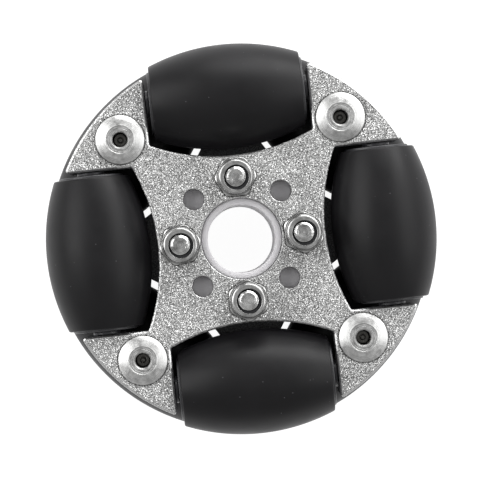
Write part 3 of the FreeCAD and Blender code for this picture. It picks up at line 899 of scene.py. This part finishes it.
@dataclass
class Roller:
    """A barrel roller: a rubber tyre moulded on a core, between two thrust washers."""

    row: Row
    number: int
    centre: Vector
    axis: Vector
    tread_circle: float = 29.0
    core_half_length: float = 11.5
    core_radius: float = 3.4
    core_bore: float = 1.3
    bore_rounding: float = 0.1
    flange_radius: float = 4.7
    flange_thickness: float = 1.3
    flange_rounding: float = 0.15
    tyre_inset: float = 0.3
    tyre_lip: float = 0.06
    tyre_corner: float = 0.4
    tyre_corner_steps: int = 5
    end_float: float = 0.1
    washer_thickness: float = 0.45
    washer_radius: float = 2.0
    washer_rounding: float = 0.08
    barrel_steps: int = 56
    turn_steps: int = 128
    small_steps: int = 72

    def place(self) -> Matrix:
        """Turns +Z into the roller's axis and puts zero at its middle."""
        turn = Vector((0.0, 0.0, 1.0)).rotation_difference(self.axis).to_matrix().to_4x4()
        return Matrix.Translation(self.centre) @ turn

    def body(self) -> str:
        """The CAD body of this roller."""
        return f"{self.row.value}_roller_{self.number}"

    def tyre_section(self) -> list[Pair]:
        """Draws the rubber: the barrel, its rounded ends and the seat on the core.

        Returns:
            The closed section's points.
        """
        end = self.core_half_length - self.tyre_inset
        step = self.core_half_length - self.flange_thickness
        middle = self.centre.to_2d().length
        corners = [
            Corner(self.flange_radius, -end, self.tyre_lip),
            Corner(self.flange_radius, -step),
            Corner(self.core_radius, -step),
            Corner(self.core_radius, step),
            Corner(self.flange_radius, step),
            Corner(self.flange_radius, end, self.tyre_lip),
        ]
        for number in range(self.barrel_steps + 1):
            along = end - 2 * end * number / self.barrel_steps
            across = math.sqrt(self.tread_circle ** 2 - along ** 2) - middle
            is_corner = number in (0, self.barrel_steps)
            corners.append(Corner(across, along, self.tyre_corner if is_corner else 0.0))
        return rounded(corners, closed=True, steps=self.tyre_corner_steps)

    def core_section(self) -> list[Pair]:
        """Draws the core: a tube with a flange at each end.

        Returns:
            The closed section's points.
        """
        end = self.core_half_length
        step = end - self.flange_thickness
        corners = [
            Corner(self.core_bore, -end, self.bore_rounding),
            Corner(self.core_bore, end, self.bore_rounding),
            Corner(self.flange_radius, end, self.flange_rounding),
            Corner(self.flange_radius, step),
            Corner(self.core_radius, step),
            Corner(self.core_radius, -step),
            Corner(self.flange_radius, -step),
            Corner(self.flange_radius, -end, self.flange_rounding),
        ]
        return rounded(corners, closed=True)

    def washer_section(self) -> list[Pair]:
        """Draws the washer with its rounded rims.

        Returns:
            The closed section's points.
        """
        inner = self.core_half_length + self.end_float
        outer = inner + self.washer_thickness
        corners = [
            Corner(self.core_bore, inner, self.washer_rounding),
            Corner(self.core_bore, outer, self.washer_rounding),
            Corner(self.washer_radius, outer, self.washer_rounding),
            Corner(self.washer_radius, inner, self.washer_rounding),
        ]
        return rounded(corners, closed=True)

    def build(self) -> None:
        """Builds the tyre, the core and the two washers."""
        row, number, place = self.row.value, self.number, self.place()
        tyre = Shell.turned(self.tyre_section(), [place], self.turn_steps)
        tyre.finish(f"tyre_{row}_{number}", self.body(), "tyre", f"{row}_tyre_{number}", TYRE_RUBBER)
        core = Shell.turned(self.core_section(), [place], self.small_steps)
        core.finish(f"core_{row}_{number}", self.body(), "core", f"{row}_core_{number}", CORE_NYLON)
        washers = Shell.turned(self.washer_section(), [place, place @ flipped()], self.small_steps)
        washers.finish(f"washers_{row}_{number}", "root", "washer", f"{row}_washers_{number}", WASHER_ACETAL)


@dataclass
class Hub:
    """The spacer between the plates, and the four screws and lock nuts that clamp it."""

    spacer_bore: float = 5.0
    spacer_radius: float = 11.4
    spacer_bevel: float = 0.2
    spacer_rounding: float = 0.05
    rim_run: float = 0.06
    spigot_radius: float = 5.95
    spigot_bevel: float = 0.08
    spigot_rounding: float = 0.02
    screw_radius: float = 1.5
    thread_pitch: float = 0.5
    thread_depth: float = 0.22
    thread_slope: float = 1.35
    thread_turns: int = 2
    thread_steps: int = 28
    head_radius: float = 2.75
    head_height: float = 3.0
    head_bevel: float = 0.3
    head_flat: float = 0.6
    head_rounding: float = 0.1
    knurl_teeth: int = 36
    knurl_depth: float = 0.09
    knurl_inset: float = 0.02
    knurl_foot: float = 0.3
    knurl_start: float = 0.32
    knurl_end: float = 0.25
    knurl_top: float = 0.2
    socket_flats: float = 2.5
    socket_softness: float = 0.03
    socket_depth: float = 1.5
    socket_point: float = 0.3
    socket_taper: float = 0.97
    socket_bevel: float = 0.12
    tip_bevel: float = 0.3
    tip_bevel_width: float = 0.42
    dish_radius: float = 0.95
    dish_depth: float = 0.15
    dish_rim: float = 0.1
    dish_rim_drop: float = 0.02
    dish_fullness: float = 0.75
    nut_flats: float = 5.5
    nut_hex_height: float = 2.7
    nut_chamfer_radius: float = 2.8
    nut_chamfer_rise: float = 0.3
    nut_chamfer_run: float = 0.05
    nut_chamfer_drop: float = 0.02
    collar_radius: float = 2.55
    collar_round: float = 0.36
    lip_bore: float = 1.8
    lip_shift: float = 0.17
    lip_bearing: float = -51.0
    lip_thickness: float = 0.3
    insert_radius: float = 2.1
    insert_bore: float = 1.52
    screw_turns: tuple[float, ...] = (12, 47, 25, 3)
    nut_turns: tuple[float, ...] = (31, 0, 9, 30)
    steps: int = 96
    head_steps: int = 216
    nut_steps: int = 180
    rounding_steps: int = 3

    def spacer(self) -> None:
        """Builds the spacer: its bore, a spigot in each plate's window and the screws' holes."""
        rear_end, front_end = node_heights("hub_spacer")
        low, high = node_heights("rear_plate")[1], node_heights("front_plate")[0]
        rim, bore, bevel = self.spacer_radius, self.spacer_bore, self.spacer_bevel
        lip, spigot, soft = self.spigot_bevel, self.spigot_radius, self.spigot_rounding
        rim_path = rounded([
            Corner(rim - bevel - self.rim_run, low),
            Corner(rim - bevel, low, self.spacer_rounding),
            Corner(rim, low + bevel, self.spacer_rounding),
            Corner(rim, high - bevel, self.spacer_rounding),
            Corner(rim - bevel, high, self.spacer_rounding),
            Corner(rim - bevel - self.rim_run, high),
        ], closed=False, steps=self.rounding_steps)
        bore_path = rounded([
            Corner(spigot, low),
            Corner(spigot, rear_end + lip, soft),
            Corner(spigot - lip, rear_end, soft),
            Corner(bore + lip, rear_end, soft),
            Corner(bore, rear_end + lip, soft),
            Corner(bore, front_end - lip, soft),
            Corner(bore + lip, front_end, soft),
            Corner(spigot - lip, front_end, soft),
            Corner(spigot, front_end - lip, soft),
            Corner(spigot, high),
        ], closed=False, steps=self.rounding_steps)
        shell = Shell()
        walls = [shell.tube(Matrix(), Vector(), path, 2 * self.steps) for path in (rim_path, bore_path)]
        screw_path = [(BOLT_HOLE, low), (BOLT_HOLE, high)]
        for number in range(ROLLERS):
            centre = around(BOLT_CIRCLE, PITCH * number, 0.0)
            walls.append(shell.tube(Matrix(), centre, screw_path, self.steps))
        for wall in walls:
            shell.skin(wall)
        for end in (0, -1):
            shell.cap([wall[end] for wall in walls])
        shell.finish("spacer", "root", "spacer_nylon", "hub_spacer", SPACER_NYLON)

    def screw_section(self, angle: float, turn: float, low: float, high: float) -> list[Pair]:
        """The screw's section at one angle, from the socket's floor round to the tip's dish.

        Args:
            angle: Where the section is.
            turn: How far the screw happens to be turned.
            low: The lowest place of the head.
            high: The highest place of the tip.

        Returns:
            The section's points, with the knurl, the socket and the thread at this angle.
        """
        socket = hexagon_reach(self.socket_flats, turn, self.socket_softness)(angle)
        floor = low + self.socket_depth
        seat = low + self.head_height
        tooth = 0.5 - 0.5 * math.cos(self.knurl_teeth * angle)
        side = self.head_radius - self.knurl_depth * tooth
        smooth = self.head_radius - self.knurl_inset
        points = [
            (0.0, floor + self.socket_point),
            (socket * self.socket_taper, floor),
            (socket, low + self.socket_bevel),
            (socket + self.socket_bevel, low),
        ]
        points += rounded([
            Corner(self.head_radius - self.head_flat, low),
            Corner(self.head_radius - self.head_bevel, low, self.head_rounding),
            Corner(smooth, low + self.head_bevel, self.head_rounding),
            Corner(smooth, low + self.head_bevel + self.knurl_foot),
        ], closed=False, steps=self.rounding_steps)
        points += [
            (side, low + self.head_bevel + self.knurl_start),
            (side, seat - self.knurl_end),
            (smooth, seat - self.knurl_top),
            (smooth, seat),
            (self.screw_radius, seat),
        ]
        bevel_start = high - self.tip_bevel
        start = bevel_start - self.thread_turns * self.thread_pitch
        for number in range(self.thread_steps + 1):
            along = start + (high - start) * number / self.thread_steps
            phase = (along / self.thread_pitch - (angle - turn) / FULL_TURN) % 1.0
            groove = self.thread_depth * max(0.0, 1.0 - abs(2.0 * phase - 1.0) * self.thread_slope)
            limit = self.screw_radius - max(0.0, along - bevel_start) * self.tip_bevel_width / self.tip_bevel
            points.append((min(self.screw_radius - groove, limit), along))
        points += [
            (self.dish_radius + self.dish_rim, high),
            (self.dish_radius, high - self.dish_rim_drop),
            (self.dish_radius / 2, high - self.dish_fullness * self.dish_depth),
            (0.0, high - self.dish_depth),
        ]
        return points

    def nut_section(self, angle: float, turn: float) -> list[Pair]:
        """The nut's closed section at one angle, with its seat at zero.

        Args:
            angle: Where the section is.
            turn: The direction of one of the hexagon's corners.

        Returns:
            The section's points, whose outer side follows the hexagon and its two chamfers.
        """
        low, high = node_heights("hub_nuts")
        height = high - low
        side = hexagon_reach(self.nut_flats, turn)(angle)
        chamfer = min(self.nut_chamfer_radius, side - self.nut_chamfer_run)
        drop = self.nut_chamfer_rise * (side - chamfer) + self.nut_chamfer_drop
        shelf = self.nut_hex_height
        lip = height - self.lip_thickness
        lip_bore = self.lip_bore + self.lip_shift * math.cos(angle - math.radians(self.lip_bearing))
        return rounded([
            Corner(self.insert_bore, 0.0, fillet=0.1),
            Corner(chamfer, 0.0, fillet=0.06),
            Corner(side, drop, fillet=0.08),
            Corner(side, shelf - drop, fillet=0.08),
            Corner(chamfer, shelf, fillet=0.06),
            Corner(self.collar_radius, shelf, fillet=0.12),
            Corner(self.collar_radius, height, self.collar_round),
            Corner(lip_bore, height, fillet=0.1),
            Corner(lip_bore, lip),
            Corner(self.insert_radius, lip),
            Corner(self.insert_radius, shelf),
            Corner(self.insert_bore, shelf),
        ], closed=True)

    def insert_section(self) -> list[Pair]:
        """Draws the nylon ring, measured from the nut's seat.

        Returns:
            The closed section's points.
        """
        low, high = node_heights("hub_nuts")
        top = high - low - self.lip_thickness
        return rounded([
            Corner(self.insert_bore, self.nut_hex_height),
            Corner(self.insert_radius, self.nut_hex_height),
            Corner(self.insert_radius, top),
            Corner(self.insert_bore, top, fillet=0.1),
        ], closed=True)

    def fasteners(self) -> None:
        """Builds the screws, the nuts and their nylon rings."""
        low, high = node_heights("hub_screws")
        seat, _ = node_heights("hub_nuts")
        screws, nuts = Shell(), Shell()
        seats = []
        for number, angles in enumerate(zip(self.screw_turns, self.nut_turns)):
            spot = around(BOLT_CIRCLE, PITCH * number, 0.0)
            screw_turn, nut_turn = map(math.radians, angles)
            screws.turn(lambda angle: self.screw_section(angle, screw_turn, low, high),
                        Matrix.Translation(spot), self.head_steps, closed=False)
            seats.append(Matrix.Translation(spot + Vector((0, 0, seat))))
            nuts.turn(lambda angle: self.nut_section(angle, nut_turn), seats[-1], self.nut_steps, closed=True)
        inserts = Shell.turned(self.insert_section(), seats, self.steps)
        screws.finish("screws", "root", "screw", "hub_screws", SCREW_STEEL)
        nuts.finish("lock_nuts", "root", "nut", "hub_nuts", NUT_STEEL)
        inserts.finish("nut_rings", "root", "insert", "nut_inserts", INSERT_NYLON)

    def build(self) -> None:
        """Builds the hub's pieces."""
        self.spacer()
        self.fasteners()


@dataclass
class Rivets:
    """The four blind rivets of one plate, each with what is left of its pulling pin."""

    row: Row
    shank: float = 2.0
    flange: float = 3.65
    rim_height: float = 0.25
    shoulder: float = 2.95
    shoulder_height: float = 0.58
    crown_height: float = 0.9
    crown: float = 2.08
    shelf: float = 2.0
    shelf_drop: float = 0.07
    groove: float = 1.68
    groove_drop: float = 0.11
    groove_side: float = 0.05
    mouth: float = 1.32
    mouth_drop: float = 0.3
    bore: float = 1.1
    grip: float = 6.6
    tail: float = 3.0
    tail_height: float = 1.2
    pin_gap: float = 0.05
    pin_break: float = 2.6
    break_rim: float = 0.45
    break_dip: float = 0.05
    break_shoulder: float = 0.3
    break_rise: float = 0.12
    break_peak: float = 0.16
    pin_head: float = 1.7
    pin_head_height: float = 0.7
    steps: int = 120
    rounding_steps: int = 5

    def rivet_section(self) -> list[Pair]:
        """Draws the rivet: domed flange, ringed mouth, shank and pulled tail.

        Returns:
            The closed section's points.
        """
        foot = -(self.grip + self.tail_height)
        shelf_level = self.crown_height - self.shelf_drop
        return rounded([
            Corner(self.bore, foot, fillet=0.1),
            Corner(self.tail, foot, fillet=0.4),
            Corner(self.tail, -self.grip, fillet=0.3),
            Corner(self.shank, -self.grip),
            Corner(self.shank, 0.0),
            Corner(self.flange, 0.0, fillet=0.05),
            Corner(self.flange, self.rim_height, fillet=0.16),
            Corner(self.shoulder, self.shoulder_height, fillet=1.2),
            Corner(self.crown, self.crown_height, fillet=0.04),
            Corner(self.shelf, shelf_level, fillet=0.03),
            Corner(self.groove + self.groove_side, shelf_level, fillet=0.02),
            Corner(self.groove, self.crown_height - self.groove_drop),
            Corner(self.groove - self.groove_side, shelf_level, fillet=0.02),
            Corner(self.mouth, shelf_level, fillet=0.06),
            Corner(self.bore, self.crown_height - self.mouth_drop, fillet=0.1),
        ], closed=True, steps=self.rounding_steps)

    def pin_section(self) -> list[Pair]:
        """Draws the pin, from its head's end up to the rough break in the bore.

        Returns:
            The section's points.
        """
        tail_end = -(self.grip + self.tail_height)
        shank = self.bore - self.pin_gap
        return rounded([
            Corner(0.0, tail_end - self.pin_head_height),
            Corner(self.pin_head, tail_end - self.pin_head_height, fillet=0.35),
            Corner(self.pin_head, tail_end, fillet=0.1),
            Corner(shank, tail_end),
            Corner(shank, -self.pin_break, fillet=0.15),
            Corner(self.break_rim, -self.pin_break - self.break_dip, fillet=0.1),
            Corner(self.break_shoulder, -self.pin_break + self.break_rise, fillet=0.1),
            Corner(0.0, -self.pin_break + self.break_peak),
        ], closed=False)

    def build(self) -> None:
        """Builds the rivets and the pins."""
        row = self.row.value
        low, high = node_heights(f"{row}_plate")
        face, way = (high, Matrix()) if self.row is Row.FRONT else (low, flipped())
        places = []
        for number in range(ROLLERS):
            spot = around(RIVET_CIRCLE, HALF_PITCH - self.row.turn() + PITCH * number, face)
            places.append(Matrix.Translation(spot) @ way)
        rivets = Shell.turned(self.rivet_section(), places, self.steps)
        rivets.finish(f"rivets_{row}", "root", "rivet", f"{row}_rivets", RIVET_METAL)
        pins = Shell.turned(self.pin_section(), places, self.steps // 2, closed=False)
        pins.finish(f"rivet_pins_{row}", "root", "rivet_pin", f"{row}_rivet_pins", PIN_STEEL)


@dataclass
class CarriedOver:
    """The CAD nodes that show as they are, with the finish of the real piece."""

    frames: tuple[str, ...] = tuple(f"{row.value}_frame" for row in Row)
    axles: tuple[str, ...] = tuple(f"{row.value}_axle_{n + 1}" for row in Row for n in range(ROLLERS))

    def build(self, nodes: dict[str, bpy.types.Object]) -> None:
        """Gives each node its finish.

        Args:
            nodes: The frame's nodes by name.
        """
        for names, finish in ((self.frames, FRAME_NYLON), (self.axles, AXLE_STEEL)):
            for name in names:
                piece = nodes[name]
                piece.data.materials.clear()
                piece.data.materials.append(finish.material())
                LOG.info("%s: CAD node in %s", name, finish.name)


@dataclass(frozen=True)
class SoftBox:
    """A large square lamp that faces the wheel."""

    name: str
    bearing: float
    height: float
    distance: float
    width: float
    length: float
    glow: float

    def build(self, turn: float) -> None:
        """Sets the lamp up.

        Args:
            turn: How far the picture is turned from the wheel's frame, in degrees.
        """
        lamp = bpy.data.lights.new(self.name, "AREA")
        lamp.shape = "RECTANGLE"
        lamp.size = self.width
        lamp.size_y = self.length
        lamp.energy = self.glow * math.pi * self.width * self.length
        stand = bpy.data.objects.new(self.name, lamp)
        bpy.context.scene.collection.objects.link(stand)
        bearing, height = math.radians(self.bearing - turn), math.radians(self.height)
        flat = math.cos(height)
        way = Vector((flat * math.cos(bearing), flat * math.sin(bearing), math.sin(height)))
        stand.location = way * self.distance
        stand.rotation_mode = "QUATERNION"
        stand.rotation_quaternion = (-way).to_track_quat("-Z", "Y")
        stand.visible_camera = False


@dataclass
class Studio:
    """A white table, a pale room and large soft lamps, seen by a camera high above the table."""

    turn: float = 5.95
    camera_height: float = 0.515
    camera_left: float = 0.8
    camera_down: float = 0.4
    pixels_per_mm: float = 6.74
    picture_side: float = 480.0
    aim_right: float = -0.11
    aim_up: float = -0.135
    sensor: float = 36.0
    table_side: float = 4.0
    table_glow: float = 0.94
    table_paint: str = "#e6e6e6"
    table_seen: str = "#8c8c8c"
    room: str = "#b0b0b0"
    clip_start: float = 0.01
    clip_end: float = 20.0
    lamps: tuple[SoftBox, ...] = (
        SoftBox("left_lamp", 163.0, 38.0, 0.60, 0.50, 0.40, 3.1),
        SoftBox("right_lamp", 12.0, 38.0, 0.60, 0.50, 0.40, 2.0),
        SoftBox("far_lamp", 67.0, 20.0, 0.60, 0.70, 0.36, 5.0),
    )

    def table(self) -> None:
        """Lays the table that the wheel rests on.

        To the camera it glows white, over a paint dark enough to keep the wheel's shadow. The
        light that it throws up to the wheel comes from its pale paint alone.
        """
        low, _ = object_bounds()
        half = self.table_side / 2
        mesh = bpy.data.meshes.new("table")
        ends = [(-half, -half), (half, -half), (half, half), (-half, half)]
        mesh.from_pydata([(x, y, low.z) for x, y in ends], [], [(0, 1, 2, 3)])
        table = bpy.data.objects.new("table", mesh)
        bpy.context.scene.collection.objects.link(table)
        finish = bpy.data.materials.new("white_table")
        finish.use_nodes = True
        tree = finish.node_tree
        tree.nodes.clear()
        rays = add_node(tree, "ShaderNodeLightPath")
        direct = add_node(tree, "ShaderNodeMath", {
            "Value": rays.outputs["Is Camera Ray"], "Value_001": rays.outputs["Is Glossy Ray"],
        }, operation="MAXIMUM")
        seen = add_node(tree, "ShaderNodeMath", {
            "Value": direct, "Value_001": rays.outputs["Is Transmission Ray"],
        }, operation="MAXIMUM")
        paint = add_node(tree, "ShaderNodeMix", {
            "Factor": seen, "A": linear(self.table_paint), "B": linear(self.table_seen),
        }, data_type="RGBA")
        matt = add_node(tree, "ShaderNodeBsdfDiffuse", {"Color": paint})
        strength = add_node(tree, "ShaderNodeMath", {
            "Value": seen, "Value_001": self.table_glow,
        }, operation="MULTIPLY")
        glow = add_node(tree, "ShaderNodeEmission", {"Color": linear("#ffffff"), "Strength": strength})
        both = add_node(tree, "ShaderNodeAddShader", {"Shader": matt, "Shader_001": glow})
        add_node(tree, "ShaderNodeOutputMaterial", {"Surface": both})
        mesh.materials.append(finish)
        table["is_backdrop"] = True

    def air(self) -> None:
        """Fills the room with plain pale light."""
        world = bpy.data.worlds.new("room")
        world.use_nodes = True
        background = world.node_tree.nodes["Background"]
        wire(world.node_tree, background, {"Color": linear(self.room), "Strength": 1.0})
        bpy.context.scene.world = world

    def camera(self) -> None:
        """Stands the camera over the wheel, with the picture turned as the photograph is."""
        turn = math.radians(self.turn)
        right = Vector((math.cos(turn), -math.sin(turn), 0.0))
        up = Vector((math.sin(turn), math.cos(turn), 0.0))
        aim = (right * self.aim_right + up * self.aim_up) * MM
        spot = aim - right * self.camera_height * math.tan(math.radians(self.camera_left))
        spot -= up * self.camera_height * math.tan(math.radians(self.camera_down))
        spot.z = self.camera_height
        roller_level = sum(node_heights("front_tyre_1")) / 2 * MM
        data = bpy.data.cameras.new("camera")
        data.sensor_width = self.sensor
        reach = self.camera_height - roller_level
        data.lens = self.sensor * reach * self.pixels_per_mm / MM / self.picture_side
        data.clip_start = self.clip_start
        data.clip_end = self.clip_end
        camera = bpy.data.objects.new("camera", data)
        bpy.context.scene.collection.objects.link(camera)
        back = (spot - aim).normalized()
        side = up.cross(back).normalized()
        top = back.cross(side)
        camera.matrix_world = Matrix.Translation(spot) @ Matrix((side, top, back)).transposed().to_4x4()
        bpy.context.scene.camera = camera

    def build(self) -> None:
        """Sets up the table, the light and the camera."""
        self.table()
        self.air()
        for lamp in self.lamps:
            lamp.build(self.turn)
        self.camera()
        bpy.context.scene.view_settings.view_transform = "Standard"


def rollers_of(frame: dict[str, object]) -> list[Roller]:
    """Reads each roller's place and axis from the joint that it spins on.

    Args:
        frame: What the frame holds.

    Returns:
        One roller for each joint.
    """
    rollers = []
    for joint in frame["joints"]:
        row, _, number = joint["child"].split("_")
        centre = Vector(joint["pos_m"]) / MM
        rollers.append(Roller(Row(row), int(number), centre, Vector(joint["axis"])))
    return rollers


def main() -> None:
    """Builds the wheel's pieces in order, then the studio round it."""
    logging.basicConfig(level=logging.INFO, format="%(name)s: %(message)s")
    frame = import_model()
    CarriedOver().build(frame["nodes"])
    for row in Row:
        FacePlate(row).build()
    for roller in rollers_of(frame):
        roller.build()
    Hub().build()
    for row in Row:
        Rivets(row).build()
    Studio().build()


if __name__ == "__main__":
    main()
